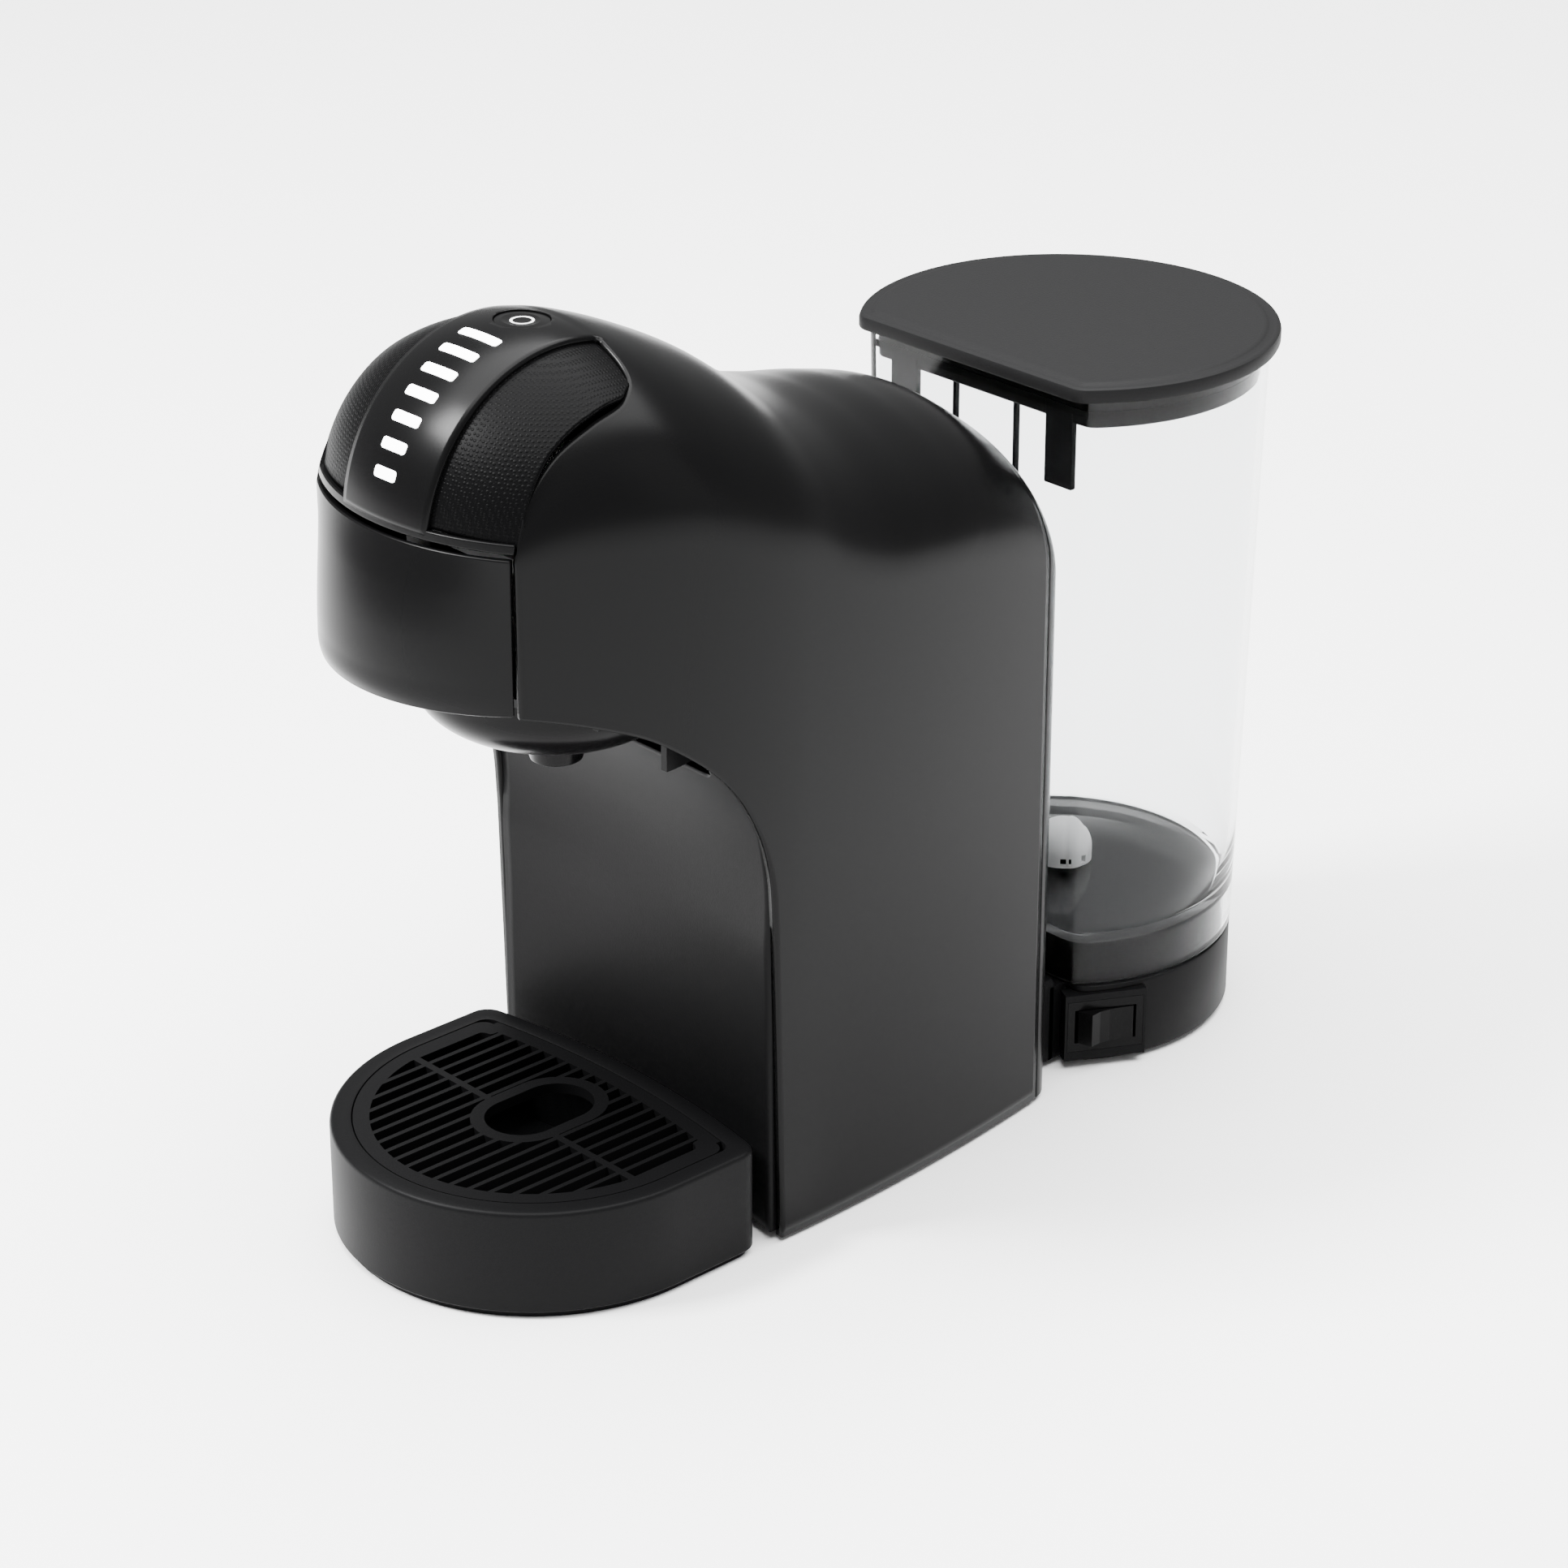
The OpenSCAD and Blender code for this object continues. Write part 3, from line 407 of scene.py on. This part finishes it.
def shell_point(y, along):
    """The point of the side shell at y and a height along its outer face."""
    w, b = float(half_w(y)), float(shoulder_of(y))
    z1 = float(top_of(y)) - b
    if along <= z1:
        return (w, y, along)
    a = float(np.interp(along - z1, shoulder_run(y), QUARTER))
    return (w * math.cos(a), y, z1 + b * math.sin(a))


def barrel(x):
    """Radius of the dome's barrel at half-width x."""
    return DOME_R - BARREL_R + np.sqrt(BARREL_R**2 - np.asarray(x, float) ** 2)


def dome_point(x, angle, depth=0.0):
    """A point of the dome at half-width x and an angle over the front horizontal."""
    r = float(barrel(x)) - depth
    return (x, DOME_Y - r * math.cos(angle), DOME_Z + r * math.sin(angle))


# The leg of the side shell is a plain patch; the rest fans out from the arch to the rear edge,
# the top and the rim.
LEG_TOP = ARCH[0][1]
LEG_LOW_Y = -66
REAR_STEPS = 28
TOP_STEPS = 84
RIM_STEPS = 48
SIDE_ROWS = 70
RIM_TOP_Y = -91.3
shell_top = unrolled_at_x(SPLIT_Y, STRIP_HALF)
rear_edge = [(SPLIT_Y, s) for s in np.linspace(LEG_TOP, shell_top, REAR_STEPS)]
top_stations = list(np.linspace(SPLIT_Y, RIM_TOP_Y, TOP_STEPS))
top_edge = [(y, unrolled_at_x(y, STRIP_HALF)) for y in top_stations]
rim_points = [(RIM_TOP_Y, unrolled_at_x(RIM_TOP_Y, STRIP_HALF))]
rim_points += [(y, unrolled(y, z)) for y, z in RIM]
rim_edge = [tuple(p) for p in smooth_path(rim_points, RIM_STEPS)]
upper = rear_edge + top_edge[1:] + rim_edge[1:]
# The first part of the arch faces the rear edge and the top, the rest faces the rim.
ARCH_SHARE = 0.3
corner = len(rear_edge) + len(top_edge) - 1
arch_shares = list(np.linspace(0, ARCH_SHARE, corner))
arch_shares += list(np.linspace(ARCH_SHARE, 1, len(upper) - corner + 1))[1:]
FINE_STEPS = 600
fine_arch = smooth_path(ARCH, FINE_STEPS + 1)
steps = np.arange(FINE_STEPS + 1)
lower = [tuple(np.interp(t * FINE_STEPS, steps, line) for line in fine_arch.T) for t in arch_shares]


def between(first, last, count=SIDE_ROWS):
    """Points of the side shell on the straight line between two (y, height along the shell)."""
    (y0, s0), (y1, s1) = first, last
    return [shell_point(y0 + (y1 - y0) * t, s0 + (s1 - s0) * t) for t in np.linspace(0, 1, count)]


side = []
for z in np.linspace(SKIRT, LEG_TOP, 26):
    front_y = LEG_LOW_Y + (ARCH[0][0] - LEG_LOW_Y) * (z - SKIRT) / (LEG_TOP - SKIRT)
    side += between((front_y, z), (SPLIT_Y, z))
leg_rows = len(side) // SIDE_ROWS
for first, last in zip(lower, upper):
    side += between(first, last)
shell_rows = len(lower)
points = list(side) + [(-x, y, z) for x, y, z in side]
faces = []
for begin, mirrored in ((0, False), (len(side), True)):
    faces += grid_faces(leg_rows, SIDE_ROWS, start=begin, flip=mirrored)
    faces += grid_faces(shell_rows, SIDE_ROWS, start=begin + leg_rows * SIDE_ROWS, flip=mirrored)

# Middle strip: over the dome, then along the casing's top.
STRIP_COLUMNS = 21
STRIP_LOW_HALF = 16.4
STRIP_LOW_Z = 218.5
strip_rows = []
top_angle = math.pi / 2 + math.asin((RIM_TOP_Y - DOME_Y) / DOME_R)
low_angle = math.asin((STRIP_LOW_Z - DOME_Z) / DOME_R)
across_strip = np.linspace(-1, 1, STRIP_COLUMNS)
for angle in np.linspace(low_angle, top_angle, 60)[:-1]:
    share = (angle - low_angle) / (top_angle - low_angle)
    half = STRIP_LOW_HALF + (STRIP_HALF - STRIP_LOW_HALF) * math.sqrt(share)
    strip_rows.append([dome_point(half * c, angle) for c in across_strip])
for y in top_stations[::-1]:
    w, b, top = float(half_w(y)), float(shoulder_of(y)), float(top_of(y))
    row = [STRIP_HALF * c for c in across_strip]
    strip_rows.append([(x, y, top - b + b * math.sqrt(1 - (x / w) ** 2)) for x in row])
start = len(points)
points += [p for row in strip_rows for p in row]
faces += grid_faces(len(strip_rows), STRIP_COLUMNS, start=start)
casing = piece("casing", points, faces, ["main_casing", "control_strip"])
merge_doubles(casing)
thicken(casing, WALL)

# Band under the dome, above the flap.
BAND_HALF = 39.4
BAND = np.linspace(-BAND_HALF, BAND_HALF, 61)
band_rows = []
for z in (217, 218.2, 219.6):
    band_rows.append([])
    for x in BAND:
        r = float(barrel(x))
        band_rows[-1].append((x, DOME_Y - math.sqrt(r * r - (z - DOME_Z) ** 2) + 0.02, z))
band = piece("dome_band", [p for r in band_rows for p in r], grid_faces(3, len(BAND)), ["control_strip"])
thicken(band, WALL)
round_edges(band, 0.5)

BUTTON_HOLE_R = 7.5
subtract(casing, hidden_cylinder("button_hole_cutter", BUTTON_HOLE_R, (0, DOME_Y + 1, 262), 30))

# Dotted grip panels, sunk under the shell's edge.
GRIP_SUNK = 1.5
GRIP_WALL = 1.6
GRIP_COLUMNS = 40
GRIP_INNER_X = 15.8
rim_outline = []
for y, along in rim_points:
    x, _, z = shell_point(y, along)
    rim_outline.append((math.atan2(z - DOME_Z, DOME_Y - y), x))
rim_outline.sort()
rim_angles, rim_halves = zip(*rim_outline)
for side_name, sign in (("left", -1), ("right", 1)):
    rows = []
    for angle in np.linspace(math.asin((219.9 - DOME_Z) / 45), top_angle, 60):
        far = float(np.interp(angle, rim_angles, rim_halves)) + 0.6
        xs = np.linspace(GRIP_INNER_X, max(far, GRIP_INNER_X + 1.2), GRIP_COLUMNS)
        rows.append([dome_point(sign * x, angle, GRIP_SUNK) for x in xs])
    grip = piece(
        "grip_panel_" + side_name,
        [p for r in rows for p in r],
        grid_faces(len(rows), GRIP_COLUMNS, flip=sign < 0),
        ["grip_" + side_name],
    )
    thicken(grip, GRIP_WALL)

# Light windows: thin slabs that follow the dome and stand a little proud of the strip.
WINDOWS = 7
WINDOW_ROWS = 13
WINDOW_COLUMNS = 25
WINDOW_HALF_HEIGHT = 1.5
WINDOW_CORNER = 0.8
WINDOW_EDGE = 0.12
FIRST_HALF_LENGTH = 4.1
HALF_LENGTH_STEP = 0.565
FIRST_ANGLE = 21.1
ANGLE_STEP = 8.87
for i in range(WINDOWS):
    half_length = FIRST_HALF_LENGTH + HALF_LENGTH_STEP * i
    angle = math.radians(FIRST_ANGLE + ANGLE_STEP * i)
    levels = []
    for lift, drawn_in in ((-0.4, 0), (0.1, 0), (0.22, WINDOW_EDGE)):
        level = []
        for v in np.linspace(-1, 1, WINDOW_ROWS):
            past = max(0.0, (abs(v) - 1) * WINDOW_HALF_HEIGHT + WINDOW_CORNER) / WINDOW_CORNER
            end = WINDOW_CORNER * (1 - math.sqrt(max(0.0, 1 - past * past)))
            reach = half_length - end - drawn_in
            turn = angle + v * (WINDOW_HALF_HEIGHT - drawn_in) / DOME_R
            level.append([dome_point(reach * t, turn, -lift) for t in np.linspace(-1, 1, WINDOW_COLUMNS)])
        levels.append(level)
    points, faces = stack([edge_loop(level) for level in levels], closed_ends=False)
    begin = len(points)
    points += [p for row in levels[-1] for p in row]
    faces += grid_faces(WINDOW_ROWS, WINDOW_COLUMNS, start=begin)
    window = piece("light_window_%d" % (i + 1), points, faces, ["light_guide"])
    merge_doubles(window)

# ---------- back cover ----------

BACK_Y = 42
BACK_DEPTH = 8.3
BACK_INSET = 8
BACK_TOP = 202.5
BACK_SLOPE = 0.7
BACK_DROP = 11.6
BACK_SHOULDER = 34.5
rows = []
for phi in np.linspace(0, math.pi / 2, 15):
    turned = 1 - math.cos(phi)
    out = BACK_DEPTH * math.sin(phi)
    y = BACK_Y + out
    top = BACK_TOP - BACK_SLOPE * out - BACK_DROP * turned
    b = BACK_SHOULDER - 4 * turned
    w = float(half_w(y)) - BACK_INSET * turned
    row = [(w, y, SKIRT + (top - b - SKIRT) * t) for t in np.linspace(0, 1, 12)[:-1]]
    row += [(w * math.cos(a), y, top - b + b * math.sin(a)) for a in np.linspace(0, math.pi, 61)]
    row += [(-w, y, SKIRT + (top - b - SKIRT) * t) for t in np.linspace(1, 0, 12)[1:]]
    rows.append(row)
points = [p for r in rows for p in r]
faces = grid_faces(len(rows), len(rows[0]), flip=True)
last = (len(rows) - 1) * len(rows[0])
faces.append([last + j for j in range(len(rows[0]))][::-1])
back = piece("rear_cover", points, faces, ["back_cover"])
thicken(back, WALL)
round_edges(back, 0.4)

# ---------- column panel ----------

COLUMN_Y = -62.8
PANEL_PATH = [
    (COLUMN_Y, 3), (COLUMN_Y, 50), (COLUMN_Y, 80), (-65.2, 113), (-71.2, 131.4), (-79.6, 144.9),
    (-92, 156.8), (-104.5, 164.8),
]
COLUMN_R = 289.0
POD_Y = -94.0
DOCK_R = 44.6
DOCK_LOW_Z = 138
DOCK_TOP_Z = 188
rows = []
for y, z in smooth_path(PANEL_PATH, 80):
    half = float(half_w(y)) - WALL - 0.4
    fade = max(0.0, min(1.0, (150 - z) / 60))
    row = []
    for x in np.linspace(-half, half, 41):
        dip = (COLUMN_R - math.sqrt(COLUMN_R**2 - x * x)) * fade
        row.append((x, y - dip, z))
    rows.append(row)
panel = piece("column_front", [p for r in rows for p in r], grid_faces(len(rows), 41), ["column_panel"])
thicken(panel, 2.2)
subtract(panel, hidden_cylinder("dock_cutter", DOCK_R, (0, POD_Y, (DOCK_LOW_Z + DOCK_TOP_Z) / 2), 50))
dock_front_low = (-DOCK_R, -150, DOCK_LOW_Z)
subtract(panel, hidden_box("dock_front_cutter", dock_front_low, (DOCK_R, POD_Y, DOCK_TOP_Z)))

# ---------- flap ----------

FLAP_LINE = [
    (173.4, -157), (176, -158.1), (182, -158.3), (192, -157.4), (204, -154.8), (215.6, -151.1),
]
flap_front = smooth_curve(FLAP_LINE)
FLAP_HALF = 39.0
FLAP_END = -139.9
rows = []
for z in np.linspace(FLAP_LINE[0][0], FLAP_LINE[-1][0], 60):
    front = float(flap_front(z))
    sag = FLAP_END - front
    r = (FLAP_HALF**2 + sag**2) / (2 * sag)
    a_end = math.asin(FLAP_HALF / r)
    row = []
    for t in np.linspace(-1, 1, 61):
        a = a_end * t
        row.append((r * math.sin(a), front + r - r * math.cos(a), z))
    rows.append(row)
flap = piece("flap_skin", [p for r in rows for p in r], grid_faces(len(rows), 61), ["front_flap"])
thicken(flap, 2.3)
round_edges(flap, 0.6)

# ---------- pod holder ----------

POD_R = 37.7
BOWL_Z = 160.3
BOWL_H = 17.2
POD_INNER_R = 35.3
POD_INNER_H = 14.8
POD_RIM_Z = 172.8
BOWL_LOW_ANGLE = math.radians(-76)
outer = [(7.4, 143.4)]
for a in np.linspace(BOWL_LOW_ANGLE, 0, 40):
    outer.append((POD_R * math.cos(a), BOWL_Z + BOWL_H * math.sin(a)))
outer += [(POD_R, 165), (POD_R, POD_RIM_Z - 0.6), (POD_R - 0.2, POD_RIM_Z - 0.15), (POD_R - 0.7, POD_RIM_Z)]
inner = [(POD_INNER_R, POD_RIM_Z), (POD_INNER_R, BOWL_Z)]
for a in np.linspace(0, BOWL_LOW_ANGLE, 30):
    inner.append((POD_INNER_R * math.cos(a), BOWL_Z + POD_INNER_H * math.sin(a)))
points, faces = lathe(outer + inner, (0, POD_Y))
piece("bowl", points, faces, ["pod_holder"])

nozzle_profile = [
    (4.5, 135.7), (6.6, 135.7), (7.1, 136.0), (7.3, 136.6), (7.3, 141.6), (9.6, 142.6), (8.4, 143.9),
    (7.3, 145.7), (4.5, 145.7),
]
points, faces = lathe(nozzle_profile, (0, POD_Y), 96)
piece("nozzle", points, faces, ["spout_nozzle"])

# ---------- drip tray ----------

TRAY_R = 57.6
TRAY_Y = -103.0


def tray_outline(inset, corner=6.0):
    """The tray's outline: round front, rounded rear corners, rear edge that follows the column."""
    r = TRAY_R - inset
    rear_r = COLUMN_R - 5.6 - inset
    c = max(corner - inset * 0.4, 1.5)
    cx = r - c
    rear_y = COLUMN_Y - COLUMN_R
    rear = rear_y + math.sqrt((rear_r - c) ** 2 - cx**2)
    line = arc(0, TRAY_Y, r, -math.pi, 0, 91)
    line += [(r, y) for y in np.linspace(TRAY_Y, rear, 8)[1:-1]]
    lean = math.asin(cx / (rear_r - c))
    line += arc(cx, rear, c, 0, math.pi / 2 - lean, 9)
    line += arc(0, rear_y, rear_r, math.pi / 2 - lean, math.pi / 2 + lean, 31)[1:-1]
    line += arc(-cx, rear, c, math.pi / 2 + lean, math.pi, 9)
    line += [(-r, y) for y in np.linspace(rear, TRAY_Y, 8)[1:-1]]
    return line


rings = []
TRAY_LAYERS = [
    (1.8, 0), (1.6, 0.3), (1.6, 1.6), (0.4, 2.0), (0, 2.5), (0, 30.9), (0.15, 31.6), (0.5, 32.1),
    (1.1, 32.4), (5.6, 32.4), (6.0, 32.25), (6.1, 31.9), (6.1, 29.0), (8.0, 29.0), (8.0, 26.8),
    (2.4, 26.8), (2.4, 2.4),
]
for inset, z in TRAY_LAYERS:
    rings.append([(x, y, z) for x, y in tray_outline(inset)])
points, faces = stack(rings)
piece("tray", points, faces, ["drip_tray"])

# ---------- water tank, lid and base ----------

LID_R = 60.4
LID_Y = 100.2
LID_FLAT_Y = 58.3
TANK_R = 57.4
TANK_FLAT_Y = 62.2
TANK_TAPER = 0.93
TANK_WALL = 2.2
TANK_H = 182.8
BASE_TOP = 26.1
BASE_Y = 99.5
BASE_R = 53.7


def d_outline(r, flat, corner, centre_y):
    """A circle cut by a flat side facing the front, with rounded corners; flat is a Y value."""
    f = flat - centre_y
    cy = f + corner
    cx = math.sqrt((r - corner) ** 2 - cy**2)
    a0 = math.atan2(cy, cx)
    line = arc(0, 0, r, a0, math.pi - a0, 120)
    line += arc(-cx, cy, corner, math.pi - a0, 1.5 * math.pi, 13)[1:]
    line += [(x, f) for x in np.linspace(-cx, cx, 22)[1:-1]]
    line += arc(cx, cy, corner, -math.pi / 2, a0, 13)[:-1]
    return [(x, y + centre_y) for x, y in line]


def d_solid(layers, r, flat, corner, centre_y):
    """Rings of a D-shaped solid from layers of (inset, z)."""
    rings = []
    for inset, z in layers:
        outline = d_outline(r - inset, flat + inset, max(corner - inset, 0.8), centre_y)
        rings.append([(x, y, z) for x, y in outline])
    return rings


lid_layers = [
    (0.9, 208.9), (0.3, 209.1), (0, 209.7), (0, 212.2), (0.25, 212.9), (0.8, 213.2), (1.6, 213.25),
    (3.4, 213.3), (3.8, 213.5), (4.4, 213.75), (5.2, 213.8),
]
points, faces = stack(d_solid(lid_layers, LID_R, LID_FLAT_Y, 6, LID_Y))
piece("lid_cap", points, faces, ["tank_lid"])


def tank_ring(inset, z):
    """The tank's outline at a height, drawn in by inset; the tank widens towards its top."""
    s = TANK_TAPER + (1 - TANK_TAPER) * (z - BASE_TOP) / TANK_H
    flat = LID_Y - (LID_Y - TANK_FLAT_Y) * s + inset
    return [(x, y, z) for x, y in d_outline(TANK_R * s - inset, flat, max(7 - inset, 2), LID_Y)]


outside = [tank_ring(0.5, 26.4)]
outside += [tank_ring(0, z) for z in np.linspace(26.9, 208.4, 14)]
outside += [tank_ring(0.4, 208.8)]
inside = [tank_ring(1.8, 208.8)] + [tank_ring(TANK_WALL, z) for z in np.linspace(208.4, 44, 14)]
inside += [tank_ring(3.0, 42.2), tank_ring(5, 41.6)]
points, faces = stack(outside + inside, closed_ends=False)
n = len(outside[0])
faces.append([(len(outside) + len(inside) - 1) * n + j for j in range(n)])
underside = [tank_ring(1.8, 26.4)]
underside += [tank_ring(TANK_WALL, z) for z in (26.8, 38.6)]
underside += [tank_ring(3, 39.4)]
begin = len(points)
points += [p for ring in underside for p in ring]
faces += grid_faces(len(underside), n, start=begin, closed=True, flip=True)
faces += [[j, (j + 1) % n, begin + (j + 1) % n, begin + j][::-1] for j in range(n)]
faces.append([begin + (len(underside) - 1) * n + j for j in range(n)][::-1])
piece("tank_wall", points, faces, ["water_tank"])

skirt_layers = [(2.7, 209), (2.7, 200.4), (3.1, 199.9), (4.3, 199.9), (4.5, 209)]
points, faces = stack([tank_ring(inset, z) for inset, z in skirt_layers], closed_ends=False)
piece("lid_skirt", points, [f[::-1] for f in faces], ["tank_lid"])

# Tank base with the pedestal that stands inside the tank's skirt.
base_layers = [(1.2, 1.5), (0.4, 1.8), (0, 2.5), (0, 25.2), (0.25, 25.8), (0.8, BASE_TOP)]
pedestal_layers = [(0, BASE_TOP), (0, 38.6), (0.2, 39.0), (0.6, 39.2)]
rings = d_solid(base_layers, BASE_R, 66.7, 5, BASE_Y)
rings += d_solid(pedestal_layers, 50.6, 68.4, 6, LID_Y)
points, faces = stack(rings)
base = piece("tank_foot", points, faces, ["tank_base"])
SWITCH_TURN = math.radians(-29)
SWITCH_OUT = 52.5
SWITCH_HALF_DEPTH = 10
SWITCH_HALF_WIDTH = 12.45
switch_x = SWITCH_OUT * math.cos(SWITCH_TURN)
switch_y = BASE_Y + SWITCH_OUT * math.sin(SWITCH_TURN)
switch_low = (switch_x - SWITCH_HALF_DEPTH, switch_y - SWITCH_HALF_WIDTH, 2.0)
switch_high = (switch_x + SWITCH_HALF_DEPTH, switch_y + SWITCH_HALF_WIDTH, 24.4)
subtract(base, hidden_box("switch_cutter", switch_low, switch_high, SWITCH_TURN))

# Neck that joins the base to the back cover, lower where the tank stands over it.
NECK_HALF = 37.6
NECK_LOW_Z = 2.5
NECK_TOP_Z = 28.5
neck_outline = [
    (-NECK_HALF, NECK_LOW_Z), (NECK_HALF, NECK_LOW_Z), (NECK_HALF, NECK_TOP_Z - 1),
    (NECK_HALF - 1, NECK_TOP_Z), (1 - NECK_HALF, NECK_TOP_Z), (-NECK_HALF, NECK_TOP_Z - 1),
]
points, faces = stack([[(x, y, z) for x, z in neck_outline] for y in (61.5, 49)])
piece("tank_neck", points, faces, ["tank_base"])
rear_outline = [
    (-NECK_HALF, NECK_LOW_Z), (NECK_HALF, NECK_LOW_Z), (NECK_HALF, BASE_TOP), (-NECK_HALF, BASE_TOP),
]
points, faces = stack([[(x, y, z) for x, z in rear_outline] for y in (72, 60)])
piece("tank_neck_rear", points, faces, ["tank_base"])

# Latch ribs that hang from the lid along the tank's flat front.
RIBS = [
    (-36, -25.5, 64.8, 180),
    (-12.6, -11.4, 66.4, 178),
    (11.4, 12.6, 66.4, 178),
    (25.5, 36, 64.8, 180),
]
for rib, (x0, x1, y0, low_z) in enumerate(RIBS):
    corners = [(x0, y0), (x1, y0), (x1, y0 + 2), (x0, y0 + 2)]
    points, faces = stack([[(x, y, z) for x, y in corners] for z in (low_z, 205)])
    latch = piece("lid_rib_%d" % (rib + 1), points, faces, ["tank_lid"])
    round_edges(latch, 0.4)

# ---------- floor, world and lights ----------

bpy.ops.mesh.primitive_plane_add(size=8)
floor = bpy.context.object
floor.name = "floor"
floor.data.materials.append(plastic("floor_pale", (0.92, 0.92, 0.92), 0.7, 300, 0.02))

world = bpy.data.worlds.new("studio")
world.use_nodes = True
world.node_tree.nodes["Background"].inputs["Color"].default_value = (1, 1, 1, 1)
world.node_tree.nodes["Background"].inputs["Strength"].default_value = 0.6
scene.world = world


def soft_light(name, place, aim, size, power):
    """A rectangular soft light at a place, turned to a point; metres and watts."""
    data = bpy.data.lights.new(name, "AREA")
    data.shape = "RECTANGLE"
    data.size, data.size_y = size
    data.energy = power
    light = bpy.data.objects.new(name, data)
    light.location = place
    light.rotation_mode = "QUATERNION"
    light.rotation_quaternion = (Vector(aim) - Vector(place)).to_track_quat("-Z", "Y")
    scene.collection.objects.link(light)


soft_light("overhead", (0, 0.2, 2.4), (0, 0.2, 0), (3.2, 3.2), 420)
soft_light("key", (-0.58, -1.02, 1.32), (0, 0, 0.2), (0.4, 0.4), 80)
soft_light("side", (1.7, 0.7, 0.9), (0, 0, 0.15), (0.8, 1.2), 3)
